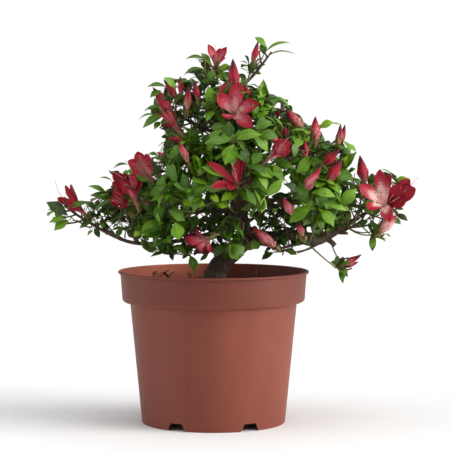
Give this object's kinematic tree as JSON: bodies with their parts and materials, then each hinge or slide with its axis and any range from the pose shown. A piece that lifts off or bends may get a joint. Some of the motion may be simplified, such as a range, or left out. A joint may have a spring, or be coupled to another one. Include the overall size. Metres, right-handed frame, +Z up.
{
  "type": "potted azalea shrub",
  "caption": "Small azalea shrub in blossom with a leaning trunk, spreading boughs and masses of leaves, in a round plastic pot of soil.",
  "frame": {"origin": "middle of the pot's flat underside, on the surface that the pot stands on", "axes": "+Z up along the pot's axis, -Y towards the viewer of the picture, +X towards the longer bough"},
  "size_m": [0.4625, 0.2976, 0.4831],
  "materials": {
    "pot": "satin",
    "soil": "matte",
    "bark": "matte",
    "foliage": "satin"
  },
  "bodies": {
    "root": {"pot": "pot", "soil": "soil", "trunk": "bark", "right_bough": "bark", "left_low_bough": "bark", "under_bough": "bark", "drop_bough": "bark", "back_low_right_bough": "bark", "left_mid_bough": "bark", "low_left_bough": "bark", "low_front_bough": "bark", "back_low_left_bough": "bark", "right_mid_bough": "bark", "back_centre_bough": "bark", "centre_left_bough": "bark", "right_shoulder_bough": "bark", "left_shoulder_bough": "bark", "back_right_bough": "bark", "centre_bough": "bark", "back_left_bough": "bark", "centre_right_bough": "bark", "crown_right_bough": "bark", "upper_left_bough": "bark", "back_top_bough": "bark", "crown_front_bough": "bark", "apex_right_bough": "bark", "apex_left": "foliage", "apex_right": "foliage", "crown_front": "foliage", "crown_right": "foliage", "upper_left": "foliage", "right_shoulder": "foliage", "right_mid": "foliage", "far_right": "foliage", "left_shoulder": "foliage", "left_mid": "foliage", "far_left": "foliage", "centre_left": "foliage", "centre": "foliage", "centre_right": "foliage", "low_left": "foliage", "low_front": "foliage", "under_right": "foliage", "drop_right": "foliage", "back_top": "foliage", "back_left": "foliage", "back_right": "foliage", "back_low_left": "foliage", "back_low_right": "foliage", "back_centre": "foliage"}
  },
  "joints": []
}
